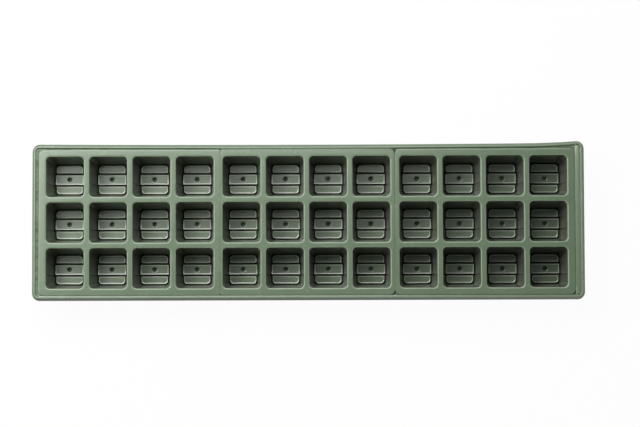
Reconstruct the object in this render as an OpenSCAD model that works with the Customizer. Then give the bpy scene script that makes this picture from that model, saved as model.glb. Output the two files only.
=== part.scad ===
// Seed propagator: a long sill tray that holds three lift-out inserts of twelve cells each.
// Millimetres, +Z up, tray length along X, origin under the middle of the tray on the surface it stands on.

/* [Cells] */
// Width of a cell mouth along the tray
mouth_x = 39.6; // [36:0.2:46]
// Width of a cell mouth across the tray
mouth_y = 42.3; // [39:0.1:48]
// Corner radius of a cell mouth
mouth_r = 4.5; // [3:0.5:7]
// Land between two neighbouring mouths
land = 5.9; // [5:0.1:9]
// Depth of a cell, from its mouth to the pads of its floor
cell_depth = 45; // [36:1:55]
// Size of a cell at its foot as a share of its mouth
foot_share = 0.76; // [0.72:0.01:0.84]
// Width of the eased edge at a mouth
mouth_ease = 0.9; // [0.5:0.1:1.2]

/* [Cell floor] */
// Width of the middle pad, across the tray
band_y = 10.3; // [8:0.1:12]
// Width of the channels between the pads
channel_y = 2; // [1.6:0.1:2.4]
// Width of the channel round the pads
moat = 1.05; // [0.8:0.05:1.4]
// Extra length of the middle pad at each end, in a recess of the wall
band_reach = 0.95; // [0.5:0.05:1.2]
// Depth below the flange at which that recess runs out
recess_top = 4; // [2:0.5:10]
// Corner radius of an outer pad
pad_r = 3.2; // [2:0.1:3.6]
// Height of the pads above the channels
pad_rise = 4; // [2:0.1:5]
// Diameter of the drain hole
drain_d = 5; // [3:0.5:6]

/* [Inserts] */
// Wall of an insert at its flange
insert_wall = 0.8; // [0.7:0.05:1]
// Floor thickness of a cell
cell_floor = 0.6; // [0.5:0.05:0.8]
// Flange beyond the last mouth at the ends of the tray
flange_end = 8; // [7:0.1:10]
// Flange beyond the last mouth along the sides of the tray
flange_side = 7.4; // [7:0.1:10]
// Land between two mouths on either side of a joint between inserts
joint_land = 9.6; // [8:0.1:12]
// Gap between the flanges of two inserts
joint_gap = 0.4; // [0.4:0.1:1]
// Corner radius of a flange
flange_r = 5.5; // [4:0.5:7]
// Depth of the turned-down edge of a flange
flange_drop = 2.4; // [2:0.1:3.5]
// Radius of the shoulder of that edge
shoulder_r = 1.4; // [1.2:0.1:1.8]

/* [Tray] */
// Wall of the tray
tray_wall = 1.2; // [1:0.1:1.6]
// Corner radius of the rim
rim_r = 8; // [7.5:0.5:10]
// Flat on top of the rim bead, between its shoulders
bead_top = 0.5; // [0.2:0.1:1]
// Width of the slope from the top of the bead down to the ledge
bead_slope = 0.8; // [0.6:0.1:1]
// Radius of the bead's two shoulders
bead_r = 0.6; // [0.4:0.1:0.8]
// Depth of the turned-down lip
lip_drop = 8; // [6:0.5:12]
// Outward lean of the lip over its depth
lip_lean = 2.5; // [1.5:0.1:3]
// Play between the rim bead and the inserts at the ends
end_play = 3.9; // [2:0.1:4.5]
// Play between the rim bead and the inserts along the sides
side_play = 0.8; // [0.6:0.1:2]
// How far the inserts lie from the middle of that play toward the left end and toward the front
lie_left = 1.6; // [0:0.1:1.8]
lie_front = 0.5; // [0:0.1:0.5]
// Width of the ledge that carries the flanges, at the ends and along the sides
ledge_end = 7.3; // [7:0.1:7.8]
ledge_side = 4.2; // [3.5:0.1:4.5]
// Draft of the tray walls in degrees
tray_draft = 5; // [3:0.5:6]
// Corner radius of the flat of the tray's floor
floor_r = 2.2; // [1.6:0.1:6]
// Radius between the walls of the tray and its floor
tray_foot_r = 4; // [3:0.5:4.5]
// Room for water between the tray floor and the cells
water_gap = 1.2; // [0.5:0.1:5]

/* [Hidden] */
// The three inserts from left to right, and their rows of cells from back to front
INSERTS = ["left", "middle", "right"];
ROWS = ["a", "b", "c"];
columns = 4;

// Facets of a full circle on the tapered cells, and on every other curve
cell_facets = 16;
$fn = 48;
// How far a cut runs past the face that it opens
overcut = 1;

mouth = [mouth_x, mouth_y];
pitch = mouth + land * [1, 1];
block = [columns * pitch.x - land, len(ROWS) * pitch.y - land];
insert_step = block.x + joint_land;
flange_joint = (joint_land - joint_gap) / 2;

// Depths of a cell below the underside of its flange
pad_depth = cell_depth - insert_wall;
channel_depth = pad_depth + pad_rise;
foot_depth = channel_depth + cell_floor;

// Pads of a cell floor, inside the channel that runs round them
pads_span = foot_share * mouth - 2 * moat * [1, 1];
pad_y = (pads_span.y - band_y) / 2 - channel_y;

// Heights above the surface that the tray stands on
rim_z = tray_wall + water_gap + foot_depth + insert_wall;
ledge_z = rim_z - flange_drop;

// Rim bead from the edge of the lip to its inner foot
bead_w = lip_lean + bead_top + 2 * bead_r + bead_slope;
rim_size = [
    2 * insert_step + block.x + 2 * (flange_end + end_play + bead_w),
    block.y + 2 * (flange_side + side_play + bead_w)
];
body_size = rim_size - 2 * (bead_w - tray_wall) * [1, 1] - 2 * [ledge_end, ledge_side];
// Directions in a section in degrees: out of the part, down and up, and out of the leaning lip and of the slope
outward = 180;
downward = 270;
upward = 90;
lip_turn = outward - atan(lip_lean / lip_drop);
slope_turn = atan(bead_slope / flange_drop);
// How far the flat of the floor begins inside the top of the wall, and how far the wall's section runs on into it
foot_in = (ledge_z - tray_foot_r) * tan(tray_draft) + tray_foot_r;
floor_lap = 1;
tray_r = floor_r + foot_in;

function flange_name(i) = str("insert_", INSERTS[i], "_flange");
function cell_name(i, row, column) = str("insert_", INSERTS[i], "_cell_", ROWS[row], column + 1);

// Rectangle with rounded corners, centred
module rounded_rectangle(size, r) {
    square([size.x - 2 * r, size.y], center = true);
    square([size.x, size.y - 2 * r], center = true);
    for (side = [-1, 1], end = [-1, 1])
        translate([side * (size.x / 2 - r), end * (size.y / 2 - r)])
            circle(r);
}

// Points on an arc about a centre, from one angle to another
function arc(centre, r, from, to, steps = 5) =
    [for (i = [0:steps]) let (a = from + (to - from) * i / steps) centre + r * [cos(a), sin(a)]];

// Carries a section round a rounded rectangle: its X is the distance in from the outline, its Y the height
module carry_round(size, r) {
    for (turn = [0, 180])
        rotate(turn) {
            translate([size.x / 2, r - size.y / 2, 0])
                rotate([90, 0, 180])
                    linear_extrude(size.y - 2 * r)
                        children();
            translate([size.x / 2 - r, size.y / 2, 0])
                rotate([90, 0, -90])
                    linear_extrude(size.x - 2 * r)
                        children();
            for (side = [1, -1])
                translate([side * (size.x / 2 - r), size.y / 2 - r, 0])
                    rotate(side > 0 ? 0 : 90)
                        rotate_extrude(angle = 90)
                            translate([r, 0])
                                mirror([1, 0])
                                    children();
        }
}

// Section of the tray's rim: a lip that leans outward, a rounded bead and the start of the ledge
module rim_section() {
    lip_z = rim_z - lip_drop;
    polygon(concat(
        [[0, lip_z]],
        arc([lip_lean + bead_r, rim_z - bead_r], bead_r, lip_turn, upward),
        arc([bead_w - bead_slope - bead_r, rim_z - bead_r], bead_r, upward, slope_turn),
        [[bead_w, ledge_z], [bead_w, ledge_z - tray_wall], [lip_lean + tray_wall, ledge_z - tray_wall]],
        [[tray_wall, lip_z]]
    ));
}

// Section of the tray's wall, from the ledge down to the rounded foot
module wall_section() {
    centre = [foot_in, tray_foot_r];
    polygon(concat(
        [[0, ledge_z]],
        arc(centre, tray_foot_r, outward + tray_draft, downward),
        [[foot_in + floor_lap, 0], [foot_in + floor_lap, tray_wall]],
        arc(centre, tray_foot_r - tray_wall, downward, outward + tray_draft),
        [[tray_wall, ledge_z]]
    ));
}

module base_tray() {
    ledge_in = bead_w - tray_wall;
    color("darkseagreen") {
        carry_round(rim_size, rim_r)
            rim_section();
        // Ledge
        translate([0, 0, ledge_z - tray_wall])
            linear_extrude(tray_wall)
                difference() {
                    rounded_rectangle(rim_size - 2 * ledge_in * [1, 1], rim_r - ledge_in);
                    rounded_rectangle(body_size - tray_wall * [1, 1], tray_r);
                }
        carry_round(body_size, tray_r)
            wall_section();
        // Floor, which ends halfway along that run
        linear_extrude(tray_wall)
            rounded_rectangle(body_size - (2 * foot_in + floor_lap) * [1, 1], floor_r);
    }
}

// Section of a flange's turned-down edge, with the top of the flange at Y = 0
module flange_section(reach) {
    centre = [shoulder_r, -shoulder_r];
    polygon(concat(
        [[0, -flange_drop]],
        arc(centre, shoulder_r, outward, upward),
        [[reach, 0], [reach, -insert_wall]],
        arc(centre, shoulder_r - insert_wall, upward, outward),
        [[insert_wall, -flange_drop]]
    ));
}

// Where the middle of an insert's cells stands, at the height of its flange
function insert_place(i) = [(i - 1) * insert_step - lie_left, -lie_front, rim_z];

// Where a cell stands from there
function cell_place(row, column) = [
    (column - (columns - 1) / 2) * pitch.x,
    ((len(ROWS) - 1) / 2 - row) * pitch.y,
    0
];

// Flange of one insert, wider where it meets an end of the tray than where it meets its neighbour
module insert_flange(i) {
    left = i == 0 ? flange_end : flange_joint;
    right = i == 2 ? flange_end : flange_joint;
    size = [block.x + left + right, block.y + 2 * flange_side];
    plate_in = flange_r / 2;
    eased = [1 + 2 * mouth_ease / mouth.x, 1 + 2 * mouth_ease / mouth.y];
    color("darkseagreen")
        translate(insert_place(i))
            difference() {
                translate([(right - left) / 2, 0, 0]) {
                    carry_round(size, flange_r)
                        flange_section(plate_in);
                    translate([0, 0, -insert_wall])
                        linear_extrude(insert_wall)
                            rounded_rectangle(size - 2 * plate_in * [1, 1], flange_r - plate_in);
                }
                // Mouths
                for (row = [0:2], column = [0:columns - 1])
                    translate(cell_place(row, column) - [0, 0, insert_wall])
                        linear_extrude(insert_wall, scale = eased, slices = 1, $fn = cell_facets)
                            rounded_rectangle(mouth, mouth_r);
            }
}

// Size of a cell at a depth below its flange, as a share of its size there
function taper(depth) = 1 - (1 - foot_share) * depth / channel_depth;

// Tapered cup of the given mouth, which lies at Z = 0, from a depth below it to a height above it
module cup(size, r, depth, above) {
    foot = taper(depth);
    translate([0, 0, -depth])
        linear_extrude(depth + above, scale = taper(-above) / foot, slices = 1, $fn = cell_facets)
            rounded_rectangle(foot * size, foot * r);
}

// Wedge that sets both end walls of a cup back beside the middle pad and runs out below the mouth
module wall_recess(width, y, depth) {
    foot = taper(depth) * width + 2 * band_reach;
    run_out = taper(recess_top) * width;
    top = foot + (run_out - foot) * depth / (depth - recess_top);
    translate([0, 0, -depth])
        linear_extrude(depth, scale = [top / foot, 1], slices = 1, segments = 0)
            square([foot, y], center = true);
}

// Plan of an outer pad with its two outer corners rounded. The middle of the cell lies toward -Y.
module outer_pad(inset) {
    size = [pads_span.x, pad_y] - 2 * inset * [1, 1];
    r = pad_r - inset;
    translate([0, -r / 2])
        square([size.x, size.y - r], center = true);
    square([size.x - 2 * r, size.y], center = true);
    for (side = [-1, 1])
        translate([side * (size.x / 2 - r), size.y / 2 - r])
            circle(r);
}

// Plan of the three pads of a cell floor
module pads(inset) {
    square([pads_span.x + 2 * (band_reach - inset), band_y - 2 * inset], center = true);
    for (turn = [0, 180])
        rotate(turn)
            translate([0, band_y / 2 + channel_y + pad_y / 2])
                outer_pad(inset);
}

// One cell, hung from the underside of its flange
module cell(i, row, column) {
    wall = 2 * insert_wall;
    recess_y = band_y + channel_y;
    color("darkseagreen")
        translate(insert_place(i) + cell_place(row, column) - [0, 0, insert_wall])
            difference() {
                union() {
                    cup(mouth + wall * [1, 1], mouth_r + insert_wall, foot_depth, 0);
                    wall_recess(mouth.x + wall, recess_y + wall, foot_depth);
                }
                // Space inside, down to the channels round the pads
                difference() {
                    union() {
                        cup(mouth, mouth_r, channel_depth, overcut);
                        wall_recess(mouth.x, recess_y, channel_depth);
                    }
                    translate([0, 0, -channel_depth - overcut])
                        linear_extrude(pad_rise + overcut)
                            pads(0);
                }
                // Hollows under the pads
                translate([0, 0, -foot_depth - overcut])
                    linear_extrude(pad_rise + overcut)
                        pads(cell_floor);
                // Drain hole
                translate([0, 0, -foot_depth])
                    cylinder(h = pad_rise + cell_floor + overcut, d = drain_d);
            }
}

base_tray();
for (i = [0:2])
    insert_flange(i);
for (i = [0:2], row = [0:2], column = [0:columns - 1])
    cell(i, row, column);
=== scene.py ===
# Seed propagator: a long green tray and three lift-out inserts of twelve cells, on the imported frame.
import math

import bmesh
import bpy
from bpy.props import FloatProperty, FloatVectorProperty, PointerProperty
from mathutils import Euler, Matrix, Vector


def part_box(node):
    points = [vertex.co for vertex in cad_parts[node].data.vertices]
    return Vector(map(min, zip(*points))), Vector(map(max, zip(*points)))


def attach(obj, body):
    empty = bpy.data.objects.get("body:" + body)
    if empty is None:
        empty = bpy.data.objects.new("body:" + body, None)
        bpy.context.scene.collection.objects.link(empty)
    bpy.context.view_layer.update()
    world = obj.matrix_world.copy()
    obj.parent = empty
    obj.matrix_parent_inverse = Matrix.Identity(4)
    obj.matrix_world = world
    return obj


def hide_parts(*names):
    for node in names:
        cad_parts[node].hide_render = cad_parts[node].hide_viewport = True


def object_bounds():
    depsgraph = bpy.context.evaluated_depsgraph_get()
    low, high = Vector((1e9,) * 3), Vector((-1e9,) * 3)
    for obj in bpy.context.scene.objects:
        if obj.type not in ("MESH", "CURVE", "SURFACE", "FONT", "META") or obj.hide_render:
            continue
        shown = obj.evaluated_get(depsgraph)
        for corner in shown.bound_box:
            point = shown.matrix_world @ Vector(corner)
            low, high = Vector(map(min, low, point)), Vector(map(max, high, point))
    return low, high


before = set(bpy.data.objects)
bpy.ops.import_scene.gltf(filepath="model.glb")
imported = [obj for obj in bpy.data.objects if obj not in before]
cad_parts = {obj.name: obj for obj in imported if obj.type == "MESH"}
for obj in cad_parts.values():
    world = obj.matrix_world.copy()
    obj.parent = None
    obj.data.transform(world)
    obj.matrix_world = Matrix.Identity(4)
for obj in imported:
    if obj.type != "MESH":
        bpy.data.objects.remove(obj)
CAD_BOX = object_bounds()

bl_info = {
    "name": "Seed Propagator",
    "version": (1, 0, 0),
    "blender": (4, 5, 0),
    "location": "3D View > Sidebar > Propagator",
    "description": "A green sill tray with three inserts of seed cells, in formed plastic sheet",
    "category": "Add Mesh",
}

MM = 0.001
QUARTER = math.pi / 2
INSERTS = ("left", "middle", "right")
ROWS = ("a", "b", "c")
COLUMNS = 4
# Width of the picture in pixels and of the sensor in millimetres, for the focal length
PICTURE_WIDTH = 640
SENSOR_WIDTH = 36
# How far the camera sees, in metres
CAMERA_REACH = 50


def cell_names(insert):
    """Nodes of an insert's cells, row by row from the back."""
    return [f"insert_{insert}_cell_{row}{column + 1}" for row in ROWS for column in range(COLUMNS)]


def box_size(node):
    """Size of a node's box."""
    low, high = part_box(node)
    return high - low


def box_middle(node):
    """Middle of a node's box in plan, at the height of the rim."""
    low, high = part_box(node)
    return Vector(((low.x + high.x) / 2, (low.y + high.y) / 2, RIM_Z))


def linear(hex_text):
    """Linear RGBA of an sRGB hex colour."""
    parts = [int(hex_text[i : i + 2], 16) / 255 for i in (1, 3, 5)]
    return [c / 12.92 if c <= 0.04045 else ((c + 0.055) / 1.055) ** 2.4 for c in parts] + [1.0]


def mixed(first, second, part):
    """A colour between two others, with the given part of the second."""
    return [(1 - part) * a + part * b for a, b in zip(first, second)]


# Sizes and colours


def length(name, description, millimetres):
    """A length that a user can set, given in millimetres."""
    return FloatProperty(name=name, description=description, default=millimetres * MM, unit="LENGTH")


def share(name, description, value):
    """A share between 0 and 1 that a user can set."""
    return FloatProperty(name=name, description=description, default=value, min=0, max=1, subtype="FACTOR")


def colour(name, description, hex_text):
    """A colour that a user can set, given as sRGB hex."""
    return FloatVectorProperty(
        name=name, description=description, default=linear(hex_text), size=4, min=0, max=1, subtype="COLOR"
    )


RIM_Z = CAD_BOX[1].z
CELL_SIZE = box_size("insert_left_cell_a1")
FLANGE_DROP = box_size("insert_middle_flange").z


class CellSizes(bpy.types.PropertyGroup):
    """One seed cell, from its mouth down to the pads of its floor."""

    wall: length("Wall", "Sheet thickness of a cell at its mouth", 0.8)
    sheet: length("Sheet", "Sheet thickness after drawing", 0.6)
    corner: length("Corner", "Corner radius of a mouth", 4.5)
    lip: length("Lip", "Radius of the rolled mouth edge", 1.3)
    collar: length("Collar", "Flat ring round a rolled edge", 0.3)
    taper: share("Taper", "Size of the foot as a share of the mouth", 0.76)
    pad_depth: length("Depth", "From the mouth to the pads", 45)
    pad_rise: length("Pad rise", "Height of the pads above the channels", 4)
    pad_edge: length("Pad edge", "Radius round the top of a pad", 0.6)
    pad_border: length("Pad border", "Width of the slope inside the edge of a pad", 1.15)
    pad_dish: length("Pad dish", "Depth of the hollow inside that slope", 0.26)
    pad_corner: length("Pad corner", "Radius of the outer corners of the pads", 3.2)
    band: length("Band", "Width of the middle pad", 10.3)
    channel: length("Channel", "Width between the pads", 2)
    moat: length("Moat", "Width of the channel round the pads", 1.05)
    foot: length("Foot", "Radius at the foot of the walls", 0.5)
    reach: length("Reach", "Extra length of the middle pad at each end", 0.95)
    recess_top: length("Recess top", "Depth at which the wall recess begins", 4.8)
    recess_ramp: length("Recess ramp", "Width of the slope at the sides of that recess", 1.0)
    drain: length("Drain", "Diameter of the drain hole", 5)
    dimple: length("Dimple", "Diameter of the dished ring round a drain hole", 7.2)
    dimple_drop: length("Dimple drop", "Depth of that ring", 0.22)
    drain_collar: length("Drain collar", "Depth of the drawn edge of a drain hole", 2)


class FlangeSizes(bpy.types.PropertyGroup):
    """The flat of an insert and its turned-down edge."""

    corner: length("Corner", "Corner radius of a flange", 5.5)
    lap: length("Lap", "How far the left flange laps over its neighbour", 2.4)
    lapped_corner: length("Lapped corner", "Corner radius on both sides of that lap", 2)
    shoulder: length("Shoulder", "Radius of the turned-down edge", 1.4)
    tight: share("Tight", "Width of the shoulder on a tightly fitting side as a share of that radius", 0.2)
    joint_close: length("Joint close", "How far a flange leans toward its neighbour", 0.18)


class TraySizes(bpy.types.PropertyGroup):
    """The tray: rim, ledge, walls and floor."""

    wall: length("Wall", "Sheet thickness of the tray", 1.2)
    corner: length("Corner", "Corner radius of the rim", 8)
    bead_top: length("Bead top", "Flat on top of the bead", 0.5)
    slope: length("Slope", "Width of the slope down to the ledge", 0.8)
    shoulder: length("Shoulder", "Radius of the bead's shoulders", 0.6)
    lip_drop: length("Lip drop", "Depth of the turned-down lip", 8)
    lip_lean: length("Lip lean", "Outward lean of the lip", 2.5)
    lip_turn: length("Lip turn", "Width and height of the turned-out edge of the lip", 2.2)
    ledge_end: length("End ledge", "Width of the ledge at the ends", 7.3)
    ledge_side: length("Side ledge", "Width of the ledge along the sides", 4.2)
    draft: FloatProperty(
        name="Draft", description="Slope of the walls", default=math.radians(5), subtype="ANGLE"
    )
    foot: length("Foot", "Radius between walls and floor", 4)
    floor_corner: length("Floor corner", "Corner radius of the floor", 2.2)
    end_gap: length("End gap", "Width of the groove beside the right flange", 0.3)
    groove_step: length("Groove step", "Width of the step up from a groove", 0.05)
    groove_fill: length("Groove fill", "How far the ledge stands up where the flanges lie close", 1.9)
    bow: length("Bow", "How far the middle of the back rim is drawn in", 1.6)
    flare: length("Flare", "How far the rim springs out at the back right corner", 3.2)
    flare_run: length("Flare run", "Length of the rim that springs out", 60)


class FinishLook(bpy.types.PropertyGroup):
    """The green plastic sheet, what has rubbed off or settled on it, and the painted highlights and painted
    shade laid over it.
    """

    green: colour("Green", "Colour of the sheet", "#687B62")
    # Paler rolled edges: partly wear, partly a painted highlight on the mouths of the cells and the bead of
    # the tray
    rubbed_and_highlight: colour("Rubbed", "Rolled edges rubbed pale", "#95A48D")
    # Paler pad edges: a painted highlight round every pad
    pad_edge_highlight: colour("Scuffed", "Edges of the pads, scuffed by trowels and roots", "#B4BFAC")
    # Darker walls deep in the cells: a dry film, and painted shade that deepens down the cells
    film_and_shade: colour("Film", "Dry film on the walls of the cells", "#5A6052")
    dust: colour("Dust", "Dust on the pads", "#708269")
    # Dark soil tone: the colour of real stains, and painted shade in channels, creases, drain holes and on
    # the tray's floor
    soil_and_shade: colour("Soil", "Soil left in channels and grooves", "#23271F")
    # Depths of the paler rolled edges, which carry a painted highlight as well as wear
    skin: length("Skin", "Depth at which a rolled edge begins to look rubbed", 0.02)
    rub_and_highlight: length("Rub", "Depth of a rubbed edge", 0.4)
    rub_and_highlight_fade: length("Rub fade", "Depth over which it fades", 1)
    # Depth at which this film, with its painted shade, begins down the walls
    film_and_shade_start: length("Film start", "Depth at which the film covers the walls of a cell", 6)
    dust_fade: length("Dust fade", "Height over which dust thins out above the pads", 1)
    dust_drop: length("Dust drop", "How far dust lies down the sides of the pads, and then fades", 0.8)
    crease_fade: length("Crease fade", "Depth over which a crease turns dark", 2)
    # Paler band at the ledge's depth: painted light that lifts the shade of the groove round the flanges
    ledge_light_band: length("Wear", "Height of the worn band above and below the ledge", 0.2)
    ledge_light_fade: length("Wear fade", "Depth over which it fades below the ledge, twice as far above it", 0.6)
    # Darker tray floor: silt, and painted shade that darkens the view down the drain holes
    silt_and_shade_band: length("Silt", "Height of the silt above and below the face of the tray's floor", 0.4)
    silt_and_shade_fade: length("Silt fade", "Height over which it fades up the walls", 1.4)
    underside: length("Underside", "Thickness of the clean skin under the tray", 0.3)
    wall_stains: share("Wall stains", "Share of stains on walls and pads", 0.1)
    ledge_stains: share("Ledge stains", "Share of stains on the ledge of the tray", 0.6)
    floor_stains: share("Floor stains", "Share of stains on the floor of the tray", 0.7)
    crease_stains: share("Crease stains", "Share of stains in the creases of the cells", 0.8)
    outside_stains: share("Outside stains", "Share of stains outside the cells, at their foot", 0.2)
    cloud: length("Cloud", "Size of the clouds in the drawn sheet", 22)
    cloud_tone: share("Cloud tone", "How far the clouds change the colour", 0.04)
    cloud_roughness: share("Cloud roughness", "How far the clouds change the roughness", 0.02)
    stain: length("Stain", "Size of a stain along the tray", 9)
    ripple: length("Ripple", "Length of the ripple in the moulded skin", 6)
    ripple_height: length("Ripple height", "Height of that ripple", 0.2)
    ripple_strength: share("Ripple strength", "How much of that height shows", 0.25)
    roughness: share("Roughness", "Middle roughness of the clean sheet", 0.26)
    dulled: share("Dulled", "Roughness that soil adds", 0.35)
    ior: FloatProperty(
        name="IOR", description="Refractive index of polystyrene", default=1.59, min=1, max=3
    )


class StageSetup(bpy.types.PropertyGroup):
    """Camera, lights and floor. Places are measured from the middle insert's flange."""

    camera_place: FloatVectorProperty(
        name="Camera",
        description="Where the camera stands",
        default=(0.0301, -0.1324, 2.3327),
        subtype="TRANSLATION",
    )
    camera_turn: FloatVectorProperty(
        name="Camera turn",
        description="How the camera is turned from straight down",
        default=(math.radians(3.46), math.radians(0.40), math.radians(-0.17)),
        subtype="EULER",
    )
    focal_pixels: FloatProperty(name="Focal length", description="Focal length in pixels", default=2227)
    back_place: FloatVectorProperty(
        name="Back box",
        description="Where the soft box behind the tray hangs",
        default=(-0.31, 0.69, 1.05),
        subtype="TRANSLATION",
    )
    back_size: FloatVectorProperty(
        name="Back box size", description="Its width and depth", default=(0.95, 1.0), size=2, unit="LENGTH"
    )
    left_place: FloatVectorProperty(
        name="Left box",
        description="Where the soft box at the left end hangs",
        default=(-0.74, 0.3, 1.0),
        subtype="TRANSLATION",
    )
    left_size: FloatVectorProperty(
        name="Left box size", description="Its width and depth", default=(0.64, 0.68), size=2, unit="LENGTH"
    )
    glow: FloatProperty(
        name="Glow", description="Power of the soft boxes for each square metre", default=15.5
    )
    zenith: FloatProperty(name="Zenith", description="Brightness of the room overhead", default=0.2)
    horizon: FloatProperty(name="Horizon", description="Brightness of the room low down", default=1.3)
    dim_from: share("Dim from", "Upward part of a direction at which the room begins to dim", 0.1)
    dim_to: share("Dim to", "Upward part of a direction at which the room is dimmest", 0.6)
    far_side: share("Far side", "Brightness of the room away from its window", 0.4)
    window: FloatVectorProperty(
        name="Window", description="Direction of the window", default=(-0.45, 0.89, 0), subtype="DIRECTION"
    )
    floor_size: FloatProperty(name="Floor", description="Side of the floor", default=12, unit="LENGTH")
    floor_rise: length("Floor rise", "Height of the floor above the tray's underside, to part them", 0.1)
    table: colour("Table", "Colour of the table top", "#F4F4F2")
    table_glow: share("Table glow", "Share of plain white in its look, the rest keeps a shadow", 0.96)


class PropagatorSettings(bpy.types.PropertyGroup):
    """All that a user would change."""

    cell: PointerProperty(type=CellSizes)
    flange: PointerProperty(type=FlangeSizes)
    tray: PointerProperty(type=TraySizes)
    finish: PointerProperty(type=FinishLook)
    stage: PointerProperty(type=StageSetup)


# Shaping

# Steps of rolled edges, corners, drain holes, feet of walls, edges of pads and the bowed rim
ARC_STEPS = 4
CORNER_STEPS = 8
HOLE_STEPS = 24
FOOT_STEPS = 2
PAD_EDGE_STEPS = 3
BOW_STEPS = 24
# Points nearer than this are one point
NEAR = 0.001 * MM
# Least part of a unit normal along X on a steep end wall, and along Z on a level face
STEEP = 0.9
LEVEL = 0.99
# How much broad faces count in the normals beside them, where 50 is even
FLAT_WEIGHT = 80
# Places of an insert's finishes: formed sheet, pad edges with a painted highlight, creases and drain holes
# with painted shade, clean outside
FORMED, PAD_EDGE_HIGHLIGHT, PAINTED_SHADE, OUTSIDE = range(4)


def rounded_face(bm, size, corner, z):
    """A flat face with rounded corners, centred on the Z axis and facing up."""
    old = set(bm.faces)
    # A unit square, stretched to size
    place = Matrix.Translation((0, 0, z)) @ Matrix.Diagonal((size.x, size.y, 1, 1))
    made = bmesh.ops.create_grid(bm, x_segments=1, y_segments=1, size=0.5, matrix=place)
    bmesh.ops.bevel(
        bm,
        geom=made["verts"],
        offset=corner,
        segments=CORNER_STEPS,
        profile=0.5,
        affect="VERTICES",
        material=-1,
    )
    return next(f for f in bm.faces if f not in old)


def step_in(bm, face, inward, rise):
    """Insets a face and lifts it."""
    bmesh.ops.inset_region(
        bm, faces=[face], thickness=inward, depth=0, use_even_offset=True, use_boundary=True
    )
    bmesh.ops.translate(bm, verts=face.verts, vec=(0, 0, rise))


def roll_in(bm, face, radius, start, end, rise_sign, steps=ARC_STEPS):
    """Insets a face along an arc. Angles run from level, 0, to upright, a quarter turn."""
    for k in range(steps):
        a = start + (end - start) * k / steps
        b = start + (end - start) * (k + 1) / steps
        inward = radius * abs(math.sin(b) - math.sin(a))
        rise = radius * abs(math.cos(b) - math.cos(a))
        step_in(bm, face, inward, rise_sign * rise)


def raise_faces(bm, faces, rise, across=1.0):
    """Extrudes faces straight up or down and scales them about the Z axis. Gives the faces at the end."""
    made = bmesh.ops.extrude_face_region(bm, geom=faces)["geom"]
    bmesh.ops.delete(bm, geom=faces, context="FACES_ONLY")
    moved = [g for g in made if isinstance(g, bmesh.types.BMVert)]
    bmesh.ops.translate(bm, verts=moved, vec=(0, 0, rise))
    bmesh.ops.scale(bm, verts=moved, vec=(across, across, 1))
    return [g for g in made if isinstance(g, bmesh.types.BMFace)]


def draw_ring(bm, edges, rise, across):
    """Extrudes a ring of edges up or down and scales it about the Z axis. Gives the new ring."""
    made = bmesh.ops.extrude_edge_only(bm, edges=edges)["geom"]
    moved = [g for g in made if isinstance(g, bmesh.types.BMVert)]
    bmesh.ops.translate(bm, verts=moved, vec=(0, 0, rise))
    bmesh.ops.scale(bm, verts=moved, vec=(across, across, 1))
    return [g for g in made if isinstance(g, bmesh.types.BMEdge)]


def open_loop(bm, face):
    """Takes a face away and gives the edges that it leaves."""
    edges = list(face.edges)
    bmesh.ops.delete(bm, geom=[face], context="FACES_ONLY")
    return edges


def cut(bm, faces, point, normal):
    """Cuts faces on a plane and gives them with their new halves."""
    parts = set(faces)
    for f in faces:
        parts.update(f.edges, f.verts)
    made = bmesh.ops.bisect_plane(bm, geom=list(parts), dist=NEAR, plane_co=point, plane_no=normal)
    return [g for g in made["geom"] if isinstance(g, bmesh.types.BMFace)]


def cell_mouth_and_walls(bm, cell):
    """Rolled mouth, tapered walls and foot of a cell. Gives the face inside the moat."""
    mouth = Vector((CELL_SIZE.x - 2 * cell.wall, CELL_SIZE.y - 2 * cell.wall))
    margin = cell.lip + cell.collar
    face = rounded_face(bm, mouth + Vector((2, 2)) * margin, cell.corner + margin, 0)
    step_in(bm, face, cell.collar, 0)
    roll_in(bm, face, cell.lip, 0, QUARTER, -1)
    depth = cell.pad_depth + cell.pad_rise
    face = raise_faces(bm, [face], cell.lip + cell.foot - depth, cell.taper)[0]
    roll_in(bm, face, cell.foot, QUARTER, 0, -1, FOOT_STEPS)
    step_in(bm, face, cell.moat - cell.foot, 0)
    return face


def round_corners(face, old, new, sides=(-1, 1)):
    """Gives the corners of a rounded face, at one end or both, another radius."""
    half = Vector((max(v.co.x for v in face.verts), max(v.co.y for v in face.verts)))
    for v in face.verts:
        turn = Vector((abs(v.co.x), abs(v.co.y))) - half + Vector((old, old))
        if min(turn) > -NEAR and math.copysign(1, v.co.x) in sides:
            place = half - Vector((new, new)) + turn * new / old
            v.co.x = math.copysign(place.x, v.co.x)
            v.co.y = math.copysign(place.y, v.co.y)


def cut_pads(bm, cell, face):
    """Cuts the floor of a cell into pads and channels. Gives the pads."""
    round_corners(face, cell.corner * cell.taper - cell.moat, cell.pad_corner)
    inner = cell.band / 2
    outer = inner + cell.channel
    floor = [face]
    for y in (-outer, -inner, inner, outer):
        floor = list({*floor, *cut(bm, [f for f in floor if f.is_valid], (0, y, 0), (0, 1, 0))})
    return [f for f in floor if f.is_valid and not inner < abs(f.calc_center_median().y) < outer]


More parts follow.
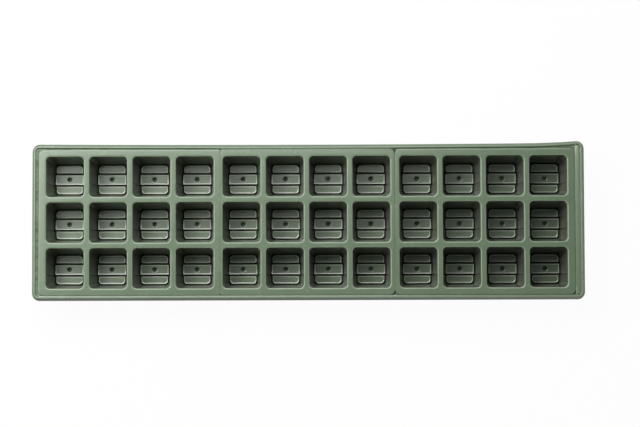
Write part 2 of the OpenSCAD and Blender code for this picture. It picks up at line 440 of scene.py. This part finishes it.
def set_back_end_walls(bm, cell):
    """Sets both end walls of a cell back beside the middle pad, in a wedge that begins below the mouth."""
    half = (cell.band + cell.channel) / 2
    # Faces further out than this belong to an end wall or to the moat beside it
    clear = cell.taper * CELL_SIZE.x / 2 - cell.wall - 2 * cell.moat
    for y in (-half - cell.recess_ramp, -half, half, half + cell.recess_ramp):
        middles = {f: f.calc_center_median() for f in bm.faces}
        below = {f: m for f, m in middles.items() if m.z < -cell.lip}
        ends = [f for f, m in below.items() if abs(m.y) < cell.band and abs(m.x) > clear]
        cut(bm, ends, (0, y, 0), (0, 1, 0))
    steep = [f for f in bm.faces if abs(f.normal.x) > STEEP]
    walls = [f for f in steep if abs(f.calc_center_median().y) < half + cell.recess_ramp]
    # The sides of the recess below its top get the crease finish, painted shade
    for f in cut(bm, walls, (0, 0, -cell.recess_top), (0, 0, 1)):
        middle = f.calc_center_median()
        if abs(middle.y) > half and middle.z < -cell.recess_top:
            f.material_index = PAINTED_SHADE
    foot_z = cell.foot - cell.pad_depth - cell.pad_rise + NEAR
    for v in bm.verts:
        if abs(v.co.y) < half + NEAR and abs(v.co.x) > clear and v.co.z < foot_z:
            v.co.x += math.copysign(cell.reach, v.co.x)


def raise_pads(bm, cell, pads):
    """Raises the pads, rounds their tops and dishes them. Gives the top of the middle pad."""
    tops = raise_faces(bm, pads, cell.pad_rise)
    bmesh.ops.bevel(
        bm,
        geom=list({e for f in tops for e in f.edges}),
        offset=cell.pad_edge,
        segments=PAD_EDGE_STEPS,
        profile=0.5,
        affect="EDGES",
        material=-1,
        clamp_overlap=True,
    )
    level = [f for f in bm.faces if f.normal.z > LEVEL]
    at_top = [f for f in level if abs(f.calc_center_median().z + cell.pad_depth) < NEAR]
    tops = sorted(at_top, key=lambda f: f.calc_area())[-len(pads) :]
    for f in tops:
        step_in(bm, f, cell.pad_border, -cell.pad_dish)
        for e in f.edges:
            e.smooth = False
            # The border slope of each pad gets the light pad-edge finish, a painted highlight
            for border in e.link_faces:
                border.material_index = PAD_EDGE_HIGHLIGHT
        f.material_index = FORMED
    return min(tops, key=lambda f: abs(f.calc_center_median().y))


def drill_drain(bm, cell, face):
    """Dished ring and drain hole in the middle pad, with a drawn edge."""
    place = Matrix.Translation((0, 0, face.calc_center_median().z))
    edges = open_loop(bm, face)
    ring = bmesh.ops.create_circle(bm, segments=HOLE_STEPS, radius=cell.dimple / 2, matrix=place)["verts"]
    ring_edges = list({e for v in ring for e in v.link_edges})
    bmesh.ops.triangle_fill(bm, edges=edges + ring_edges, use_beauty=True)
    for e in ring_edges:
        e.smooth = False
    ring_edges = draw_ring(bm, ring_edges, -cell.dimple_drop, cell.drain / cell.dimple)
    for e in ring_edges:
        e.smooth = False
    # The drawn edge of the hole gets painted shade
    for e in draw_ring(bm, ring_edges, -cell.drain_collar, 1):
        for tube in e.link_faces:
            tube.material_index = PAINTED_SHADE


def cell_pattern(cell):
    """Mesh of one cell about the Z axis, with its mouth at Z = 0."""
    bm = bmesh.new()
    face = cell_mouth_and_walls(bm, cell)
    pads = cut_pads(bm, cell, face)
    set_back_end_walls(bm, cell)
    drill_drain(bm, cell, raise_pads(bm, cell, pads))
    mesh = bpy.data.meshes.new("cell_pattern")
    bm.to_mesh(mesh)
    bm.free()
    return mesh


def face_up(bm):
    """Closes seams and turns an open sheet so that its flat faces up."""
    bmesh.ops.remove_doubles(bm, verts=bm.verts, dist=NEAR)
    bmesh.ops.recalc_face_normals(bm, faces=bm.faces)
    widest = max(bm.faces, key=lambda f: f.calc_center_median().z + f.calc_area())
    if widest.normal.z < 0:
        bmesh.ops.reverse_faces(bm, faces=bm.faces)


def shell_object(name, bm, *materials):
    """Makes a smooth object of a finished mesh."""
    mesh = bpy.data.meshes.new(name)
    for f in bm.faces:
        f.smooth = True
    bm.to_mesh(mesh)
    bm.free()
    for material in materials:
        mesh.materials.append(material)
    piece = bpy.data.objects.new(name, mesh)
    bpy.context.scene.collection.objects.link(piece)
    return piece


def weigh_normals(piece):
    """Keeps broad faces flat and lets the rolled edges shade round."""
    weighted = piece.modifiers.new("Flat faces", "WEIGHTED_NORMAL")
    weighted.weight = FLAT_WEIGHT
    weighted.keep_sharp = True


# Finishes

# Shares of stains where none lie and where soil and painted shade cover all
CLEAN, COVERED = 0.0, 1.0
# Values of a noise between which clouds run from dark to light, and stains from none to full
CLOUD_RANGE = (0.3, 0.7)
STAIN_RANGE = (0.45, 0.65)
# How many times longer a stain is along the tray than across it
STREAK = 2.5
# Layers of finer noise in clouds, stains and ripples
CLOUD_DETAIL = 3
STAIN_DETAIL = 4
RIPPLE_DETAIL = 2


def add(tree, kind, inputs=None, **settings):
    """Adds a node with its settings, its input values and its links."""
    node = tree.nodes.new(kind)
    for name, value in settings.items():
        setattr(node, name, value)
    for name, value in (inputs or {}).items():
        if isinstance(value, bpy.types.NodeSocket):
            tree.links.new(value, node.inputs[name])
        else:
            node.inputs[name].default_value = value
    return node


def blank_material(name):
    """Material with an empty node tree."""
    material = bpy.data.materials.new(name)
    material.use_nodes = True
    material.node_tree.nodes.clear()
    return material


def formed_polystyrene(name, look, stops):
    """High-impact polystyrene sheet, vacuum formed: a satin skin, pale on worn edges that also carry a
    painted highlight, and dull where soil lay.

    The colour runs down from the rim through stops of a depth, a colour and a share of stains; the deep
    stops paint shade into hollows as well as soil.
    """
    material = blank_material(name)
    tree = material.node_tree
    where = add(tree, "ShaderNodeTexCoord").outputs["Object"]
    height = add(tree, "ShaderNodeSeparateXYZ", {"Vector": where}).outputs["Z"]
    deepest = stops[-1][0]
    depth = add(
        tree,
        "ShaderNodeMapRange",
        {"Value": height, "From Min": RIM_Z, "From Max": RIM_Z - deepest, "To Min": 0.0, "To Max": 1.0},
    )
    ramp = add(tree, "ShaderNodeValToRGB", {"Fac": depth.outputs["Result"]})
    marks = ramp.color_ramp.elements
    for k, (at, paint, stains) in enumerate(stops):
        mark = marks[k] if k < len(marks) else marks.new(1)
        mark.position = at / deepest
        mark.color = (*paint[:3], stains)
    # Clouds where the sheet was drawn unevenly, stains where soil lay, and the ripple of a moulded skin,
    # which is drawn as coarse as it needs to show
    clouds = add(
        tree, "ShaderNodeTexNoise", {"Vector": where, "Scale": 1 / look.cloud, "Detail": CLOUD_DETAIL}
    )
    streaked = add(tree, "ShaderNodeVectorMath", {0: where, 1: (1, STREAK, 1)}, operation="MULTIPLY")
    spots = add(
        tree,
        "ShaderNodeTexNoise",
        {"Vector": streaked.outputs[0], "Scale": 1 / look.stain, "Detail": STAIN_DETAIL},
    )
    waves = add(
        tree, "ShaderNodeTexNoise", {"Vector": where, "Scale": 1 / look.ripple, "Detail": RIPPLE_DETAIL}
    )
    tone = add(
        tree,
        "ShaderNodeMapRange",
        {
            "Value": clouds.outputs["Fac"],
            "From Min": CLOUD_RANGE[0],
            "From Max": CLOUD_RANGE[1],
            "To Min": 1 - look.cloud_tone,
            "To Max": 1 + look.cloud_tone,
        },
    )
    clouded = add(
        tree,
        "ShaderNodeVectorMath",
        {0: ramp.outputs["Color"], "Scale": tone.outputs["Result"]},
        operation="SCALE",
    )
    spotted = add(
        tree,
        "ShaderNodeMapRange",
        {"Value": spots.outputs["Fac"], "From Min": STAIN_RANGE[0], "From Max": STAIN_RANGE[1]},
    )
    stained = add(
        tree,
        "ShaderNodeMath",
        {0: spotted.outputs["Result"], 1: ramp.outputs["Alpha"]},
        operation="MULTIPLY",
    )
    mottled = add(
        tree,
        "ShaderNodeMix",
        {"Factor": stained.outputs[0], "A": clouded.outputs[0], "B": look.soil_and_shade},
        data_type="RGBA",
    )
    rough = add(
        tree,
        "ShaderNodeMapRange",
        {
            "Value": clouds.outputs["Fac"],
            "From Min": CLOUD_RANGE[0],
            "From Max": CLOUD_RANGE[1],
            "To Min": look.roughness - look.cloud_roughness,
            "To Max": look.roughness + look.cloud_roughness,
        },
    )
    dull = add(
        tree,
        "ShaderNodeMath",
        {0: ramp.outputs["Alpha"], 1: look.dulled, 2: rough.outputs["Result"]},
        operation="MULTIPLY_ADD",
    )
    bump = add(
        tree,
        "ShaderNodeBump",
        {
            "Height": waves.outputs["Fac"],
            "Strength": look.ripple_strength,
            "Distance": look.ripple_height,
        },
    )
    shader = add(
        tree,
        "ShaderNodeBsdfPrincipled",
        {
            "Base Color": mottled.outputs["Result"],
            "Roughness": dull.outputs[0],
            "IOR": look.ior,
            "Normal": bump.outputs["Normal"],
        },
    )
    add(tree, "ShaderNodeOutputMaterial", {"Surface": shader.outputs["BSDF"]})
    return material


def white_table(name, stage):
    """Matt white table top: plain white to the eye, and it keeps a faint shadow."""
    material = blank_material(name)
    tree = material.node_tree
    path = add(tree, "ShaderNodeLightPath").outputs
    seen = add(
        tree, "ShaderNodeMath", {0: path["Is Camera Ray"], 1: path["Is Glossy Ray"]}, operation="MAXIMUM"
    )
    seen = add(
        tree, "ShaderNodeMath", {0: seen.outputs[0], 1: path["Is Transmission Ray"]}, operation="MAXIMUM"
    )
    lit = add(tree, "ShaderNodeMath", {0: seen.outputs[0], 1: stage.table_glow}, operation="MULTIPLY")
    matt = add(tree, "ShaderNodeBsdfDiffuse", {"Color": stage.table})
    glow = add(tree, "ShaderNodeEmission", {"Color": (1, 1, 1, 1), "Strength": 1.0})
    mix = add(tree, "ShaderNodeMixShader", {0: lit.outputs[0], 1: matt.outputs[0], 2: glow.outputs[0]})
    add(tree, "ShaderNodeOutputMaterial", {"Surface": mix.outputs["Shader"]})
    return material


# Operators


class PROPAGATOR_OT_tray(bpy.types.Operator):
    """Builds the tray: rim, ledge, walls and floor in one formed sheet"""

    bl_idname = "propagator.tray"
    bl_label = "Tray"

    def execute(self, context):
        settings = context.scene.propagator
        tray = settings.tray
        look = settings.finish
        size = box_size("base_tray").xy
        bm = bmesh.new()
        self.upper_side(bm, tray, size)
        self.under_side(bm, tray, size)
        bmesh.ops.remove_doubles(bm, verts=bm.verts, dist=NEAR)
        bmesh.ops.recalc_face_normals(bm, faces=bm.faces)
        self.close_grooves(bm, tray, size)
        self.spring(bm, tray, size)
        material = formed_polystyrene("formed_polystyrene_tray_green", look, self.stops(tray, look))
        piece = shell_object("tray_shell", bm, material)
        weigh_normals(piece)
        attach(piece, "tray")
        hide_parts("base_tray")
        return {"FINISHED"}

    @staticmethod
    def stops(tray, look):
        """Depth, colour and share of stains from a paler bead with a painted highlight, past a paler ledge
        band of painted light, to a floor darkened by silt and painted shade.
        """
        ledge = FLANGE_DROP
        floor = RIM_Z - tray.wall
        # Paler bead top: wear and a painted highlight
        rubbed_and_highlight = mixed(look.green, look.rubbed_and_highlight, 1 / 2)
        # Paler ledge band: painted light over the shade of the groove
        ledge_light = mixed(look.green, look.rubbed_and_highlight, 1 / 4)
        # Floor tone: silt and painted shade
        silt_and_shade = mixed(look.film_and_shade, look.soil_and_shade, 1 / 2)
        return (
            (0, rubbed_and_highlight, CLEAN),
            (look.rub_and_highlight, look.green, CLEAN),
            (ledge - look.ledge_light_band - 2 * look.ledge_light_fade, look.green, CLEAN),
            (ledge - look.ledge_light_band, ledge_light, look.ledge_stains),
            (ledge + look.ledge_light_band, ledge_light, look.ledge_stains),
            (ledge + look.ledge_light_band + look.ledge_light_fade, look.green, look.wall_stains),
            (floor - look.silt_and_shade_band - look.silt_and_shade_fade, look.green, look.wall_stains),
            (floor - look.silt_and_shade_band, silt_and_shade, look.floor_stains),
            (floor + look.silt_and_shade_band, silt_and_shade, look.floor_stains),
            (RIM_Z - look.underside, look.green, look.wall_stains),
            (RIM_Z, look.green, look.wall_stains),
        )

    @staticmethod
    def bead(tray):
        """Width of the rim from the edge of the lip to the foot of the bead."""
        return tray.lip_lean + tray.bead_top + 2 * tray.shoulder + tray.slope

    @staticmethod
    def wall_and_floor(bm, tray, size, top_z, radius, floor_z):
        """One side of the wall, its rounded foot and the floor. Gives the open edges at its top."""
        run = (top_z - tray.foot) * math.tan(tray.draft)
        rolled = radius * (1 - math.sin(tray.draft))
        face = rounded_face(bm, size, tray.floor_corner + run + rolled, top_z)
        top = list(face.verts)
        step_in(bm, face, run, floor_z + radius - radius * math.sin(tray.draft) - top_z)
        roll_in(bm, face, radius, QUARTER - tray.draft, 0, -1)
        return list({e for v in top for e in v.link_edges if all(w in top for w in e.verts)})

    def upper_side(self, bm, tray, size):
        """The side that shows from above."""
        ledge_z = RIM_Z - FLANGE_DROP
        # Turned-out edge and leaning lip
        face = rounded_face(bm, size, tray.corner, RIM_Z - tray.lip_drop)
        step_in(bm, face, tray.lip_turn, tray.lip_turn)
        out = tray.lip_lean - tray.lip_turn
        drop = tray.lip_drop - tray.lip_turn
        lean = math.atan2(out, drop)
        start = out + tray.shoulder - tray.shoulder * math.cos(lean)
        step_in(bm, face, start, drop - tray.shoulder + tray.shoulder * math.sin(lean))
        # Bead, and the slope from it to the ledge
        roll_in(bm, face, tray.shoulder, QUARTER - lean, 0, 1)
        step_in(bm, face, tray.bead_top, 0)
        fall = QUARTER - math.atan2(tray.slope, FLANGE_DROP)
        roll_in(bm, face, tray.shoulder, 0, fall, -1)
        down = tray.shoulder * (1 - math.cos(fall))
        step_in(bm, face, tray.slope + tray.shoulder * (1 - math.sin(fall)), ledge_z - RIM_Z + down)
        rim = open_loop(bm, face)
        body = size - 2 * Vector((tray.ledge_end, tray.ledge_side)) - 2 * Vector((1, 1)) * self.bead(tray)
        wall = self.wall_and_floor(bm, tray, body, ledge_z, tray.foot - tray.wall, tray.wall)
        bmesh.ops.bridge_loops(bm, edges=rim + wall)

    def under_side(self, bm, tray, size):
        """The side that shows from below."""
        under_z = RIM_Z - FLANGE_DROP - tray.wall
        face = rounded_face(bm, size, tray.corner, RIM_Z - tray.lip_drop)
        step_in(bm, face, tray.wall, 0)
        step_in(bm, face, tray.lip_lean, under_z - RIM_Z + tray.lip_drop)
        rim = open_loop(bm, face)
        inward = self.bead(tray) - tray.wall + tray.wall * math.tan(tray.draft)
        body = size - 2 * Vector((tray.ledge_end, tray.ledge_side)) - 2 * Vector((1, 1)) * inward
        wall = self.wall_and_floor(bm, tray, body, under_z, tray.foot, 0)
        bmesh.ops.bridge_loops(bm, edges=rim + wall)

    def close_grooves(self, bm, tray, size):
        """Lifts the ledge beside the flanges at the right end, in front and behind the middle insert."""
        low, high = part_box("insert_middle_flange")
        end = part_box("insert_right_flange")[1].x + tray.end_gap
        foot = size.y / 2 - self.bead(tray)
        step = tray.groove_step
        for x in (end, end + step, low.x - step, low.x, high.x, high.x + step):
            cut(bm, list(bm.faces), (x, 0, 0), (1, 0, 0))
        for y in (step - foot, 2 * step - foot, foot - 2 * step, foot - step):
            cut(bm, list(bm.faces), (0, y, 0), (0, 1, 0))
        for v in bm.verts:
            if abs(v.co.z - RIM_Z + FLANGE_DROP) < NEAR:
                at_end = v.co.x > end + step - NEAR
                at_front = v.co.y < step - foot + NEAR
                at_back = v.co.y > foot - step - NEAR and low.x - NEAR < v.co.x < high.x + NEAR
                if at_end or at_front or at_back:
                    v.co.z += tray.groove_fill

    @staticmethod
    def spring(bm, tray, size):
        """Bows the back of the rim in and springs its right corner out, as a thin tray does."""
        for k in range(1, BOW_STEPS):
            cut(bm, list(bm.faces), (size.x * (k / BOW_STEPS - 0.5), 0, 0), (1, 0, 0))
        # Only the rim gives: the bend fades toward the floor and, faster, toward the middle of the tray
        for v in bm.verts:
            if v.co.y > 0:
                grip = (v.co.z / RIM_Z) ** 2 * (2 * v.co.y / size.y) ** 4
                along = 2 * v.co.x / size.x
                near_corner = max(0, 1 - (size.x / 2 - v.co.x) / tray.flare_run)
                v.co.y += grip * (tray.flare * near_corner**2 - tray.bow * (1 - along**2))


class PROPAGATOR_OT_inserts(bpy.types.Operator):
    """Builds the three inserts, each a flange with twelve cells in one formed sheet"""

    bl_idname = "propagator.inserts"
    bl_label = "Inserts"

    def execute(self, context):
        settings = context.scene.propagator
        cell = settings.cell
        look = settings.finish
        materials = self.finishes(cell, look)
        pattern = cell_pattern(cell)
        for insert in INSERTS:
            piece = self.insert(settings, pattern, insert, materials)
            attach(piece, f"insert_{insert}")
            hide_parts(f"insert_{insert}_flange", *cell_names(insert))
        bpy.data.meshes.remove(pattern)
        return {"FINISHED"}

    @staticmethod
    def finishes(cell, look):
        """Materials of an insert in the order of their places, each from stops like the tray's."""
        pads = cell.pad_depth
        formed = (
            (0, look.green, CLEAN),
            # Rolled mouth edges: paler for wear and for a painted highlight
            (look.skin, look.rubbed_and_highlight, CLEAN),
            (look.rub_and_highlight, look.rubbed_and_highlight, CLEAN),
            (look.rub_and_highlight + look.rub_and_highlight_fade, look.green, look.wall_stains),
            # Film down the walls: partly painted shade
            (look.film_and_shade_start, look.film_and_shade, look.wall_stains),
            (pads - look.dust_fade, look.film_and_shade, look.wall_stains),
            (pads, look.dust, look.wall_stains),
            (pads + look.dust_drop, look.dust, look.wall_stains),
            # Channels and moat: dark soil tone as painted shade
            (pads + 2 * look.dust_drop, look.soil_and_shade, COVERED),
            (pads + cell.pad_rise, look.soil_and_shade, COVERED),
        )
        # Pad edges: a painted highlight
        pad_edge_highlight = ((0, look.pad_edge_highlight, CLEAN), (pads, look.pad_edge_highlight, CLEAN))
        # Creases of the recesses and drain holes: painted shade
        painted_shade_stops = (
            (cell.recess_top, look.film_and_shade, look.wall_stains),
            (cell.recess_top + look.crease_fade, look.soil_and_shade, look.crease_stains),
            (pads, look.soil_and_shade, COVERED),
        )
        outside = ((0, look.green, CLEAN), (pads, look.green, look.outside_stains))
        return (
            formed_polystyrene("formed_polystyrene_insert_green", look, formed),
            formed_polystyrene("formed_polystyrene_pad_edge_highlight", look, pad_edge_highlight),
            formed_polystyrene("formed_polystyrene_painted_shade_creases", look, painted_shade_stops),
            formed_polystyrene("formed_polystyrene_clean_outside", look, outside),
        )

    @staticmethod
    def flange_edge(bm, flange, insert):
        """Turned-down edge of an insert, narrow on its tight sides. Gives its inner edges."""
        node = f"insert_{insert}_flange"
        size = box_size(node)
        middle = box_middle(node)
        # Ends at the lap and ends at a joint: 1 is the right end, -1 the left
        lapped = {"left": (1,), "middle": (-1,), "right": ()}[insert]
        joints = {"left": (1,), "middle": (-1, 1), "right": (-1,)}[insert]
        # The lap moves the joint between the left and the middle flange
        grow = {"left": flange.lap, "middle": -flange.lap, "right": 0}[insert]
        size.x += grow
        middle.x += abs(grow) / 2
        old = set(bm.verts)
        face = rounded_face(bm, size.xy, flange.corner, RIM_Z - size.z)
        round_corners(face, flange.corner, flange.lapped_corner, lapped)
        face = raise_faces(bm, [face], size.z - flange.shoulder)[0]
        roll_in(bm, face, flange.shoulder, QUARTER, 0, 1)
        edge = open_loop(bm, face)
        made = [v for v in bm.verts if v not in old]
        # Sides that lie close to the rim or to a neighbour
        tight = {
            "left": ("right", "front"),
            "middle": ("left", "right", "front", "back"),
            "right": ("left", "right", "front"),
        }[insert]
        # The shoulder is drawn outward on those sides, and both edges of a joint lean together
        for v in made:
            side = Vector((math.copysign(1, v.co.x), math.copysign(1, v.co.y)))
            corner = flange.lapped_corner if side.x in lapped else flange.corner
            turn = Vector((abs(v.co.x) - size.x / 2 + corner, abs(v.co.y) - size.y / 2 + corner))
            turn = Vector((max(0, turn.x), max(0, turn.y)))
            outward = turn.normalized()
            inset = (corner - turn.length) * (1 - flange.tight)
            hold_x = ("right" if side.x > 0 else "left") in tight
            hold_y = ("back" if side.y > 0 else "front") in tight
            hold = hold_x * outward.x**2 + hold_y * outward.y**2
            v.co.x += side.x * outward.x * inset * hold
            v.co.y += side.y * outward.y * inset * hold
            if side.x in joints:
                v.co.x += side.x * flange.joint_close * outward.x**2
        bmesh.ops.translate(bm, verts=made, vec=(*middle.xy, 0))
        return edge

    def insert(self, settings, pattern, insert, materials):
        """One insert, with its cells where the frame has them."""
        bm = bmesh.new()
        for name in cell_names(insert):
            old = set(bm.verts)
            bm.from_mesh(pattern)
            bmesh.ops.translate(bm, verts=[v for v in bm.verts if v not in old], vec=box_middle(name))
        mouths = [e for e in bm.edges if e.is_boundary and e.verts[0].co.z > RIM_Z - NEAR]
        edge = self.flange_edge(bm, settings.flange, insert)
        bmesh.ops.triangle_fill(bm, edges=edge + mouths, use_beauty=True)
        face_up(bm)
        piece = shell_object(f"insert_{insert}_shell", bm, *materials)
        thick = piece.modifiers.new("Sheet", "SOLIDIFY")
        thick.thickness = settings.cell.sheet
        thick.offset = -1
        thick.use_quality_normals = True
        thick.material_offset = OUTSIDE
        weigh_normals(piece)
        return piece


class PROPAGATOR_OT_stage(bpy.types.Operator):
    """Sets up the floor, the lights and the camera"""

    bl_idname = "propagator.stage"
    bl_label = "Stage"

    def execute(self, context):
        stage = context.scene.propagator.stage
        self.floor(stage)
        self.soft_box(context.scene, stage, "back_soft_box", stage.back_place, stage.back_size)
        self.soft_box(context.scene, stage, "left_soft_box", stage.left_place, stage.left_size)
        self.room(context.scene, stage)
        self.camera(context.scene, stage)
        context.scene.view_settings.view_transform = "Standard"
        return {"FINISHED"}

    @staticmethod
    def floor(stage):
        """A wide white floor."""
        bm = bmesh.new()
        place = Matrix.Translation((0, 0, stage.floor_rise))
        bmesh.ops.create_grid(bm, x_segments=1, y_segments=1, size=stage.floor_size / 2, matrix=place)
        shell_object("floor", bm, white_table("matt_white_table", stage))

    @staticmethod
    def soft_box(scene, stage, name, place, size):
        """A soft box that hangs level and faces down."""
        lamp = bpy.data.lights.new(name, "AREA")
        lamp.shape = "RECTANGLE"
        lamp.size, lamp.size_y = size
        lamp.energy = stage.glow * size[0] * size[1]
        piece = bpy.data.objects.new(name, lamp)
        piece.location = box_middle("insert_middle_flange") + Vector(place)
        piece.visible_camera = False
        scene.collection.objects.link(piece)

    @staticmethod
    def room(scene, stage):
        """A room that is white low down, dimmer overhead and brightest toward its window."""
        world = bpy.data.worlds.new("white_room")
        world.use_nodes = True
        tree = world.node_tree
        tree.nodes.clear()
        where = add(tree, "ShaderNodeTexCoord").outputs["Generated"]
        height = add(tree, "ShaderNodeSeparateXYZ", {"Vector": where}).outputs["Z"]
        level = add(
            tree,
            "ShaderNodeMapRange",
            {
                "Value": height,
                "From Min": stage.dim_from,
                "From Max": stage.dim_to,
                "To Min": stage.horizon,
                "To Max": stage.zenith,
            },
        )
        toward = add(tree, "ShaderNodeVectorMath", {0: where, 1: stage.window}, operation="DOT_PRODUCT")
        side = add(
            tree,
            "ShaderNodeMapRange",
            {"Value": toward.outputs["Value"], "From Min": -1.0, "From Max": 1.0, "To Min": stage.far_side},
        )
        strength = add(
            tree,
            "ShaderNodeMath",
            {0: level.outputs["Result"], 1: side.outputs["Result"]},
            operation="MULTIPLY",
        )
        room = add(tree, "ShaderNodeBackground", {"Color": (1, 1, 1, 1), "Strength": strength.outputs[0]})
        add(tree, "ShaderNodeOutputWorld", {"Surface": room.outputs[0]})
        scene.world = world

    @staticmethod
    def camera(scene, stage):
        """The camera, almost straight above the tray."""
        data = bpy.data.cameras.new("camera")
        data.sensor_width = SENSOR_WIDTH
        data.lens = stage.focal_pixels * SENSOR_WIDTH / PICTURE_WIDTH
        data.clip_end = CAMERA_REACH
        camera = bpy.data.objects.new("camera", data)
        camera.location = box_middle("insert_middle_flange") + Vector(stage.camera_place)
        camera.rotation_euler = Euler(stage.camera_turn)
        scene.collection.objects.link(camera)
        scene.camera = camera


class PROPAGATOR_PT_panel(bpy.types.Panel):
    """Sidebar panel with the propagator's sizes and operators"""

    bl_idname = "PROPAGATOR_PT_panel"
    bl_label = "Seed Propagator"
    bl_space_type = "VIEW_3D"
    bl_region_type = "UI"
    bl_category = "Propagator"

    def draw(self, context):
        layout = self.layout
        settings = context.scene.propagator
        for title, group in (
            ("Cells", settings.cell),
            ("Flanges", settings.flange),
            ("Tray", settings.tray),
            ("Finish", settings.finish),
            ("Stage", settings.stage),
        ):
            column = layout.column(align=True)
            column.label(text=title)
            for name in group.__annotations__:
                column.prop(group, name)
        for operator in OPERATORS:
            layout.operator(operator.bl_idname)


OPERATORS = (PROPAGATOR_OT_tray, PROPAGATOR_OT_inserts, PROPAGATOR_OT_stage)
CLASSES = (
    CellSizes,
    FlangeSizes,
    TraySizes,
    FinishLook,
    StageSetup,
    PropagatorSettings,
    *OPERATORS,
    PROPAGATOR_PT_panel,
)


def register():
    for kind in CLASSES:
        bpy.utils.register_class(kind)
    bpy.types.Scene.propagator = PointerProperty(type=PropagatorSettings)


def unregister():
    del bpy.types.Scene.propagator
    for kind in reversed(CLASSES):
        bpy.utils.unregister_class(kind)


def main():
    register()
    bpy.ops.propagator.tray()
    bpy.ops.propagator.inserts()
    bpy.ops.propagator.stage()


if __name__ == "__main__":
    main()
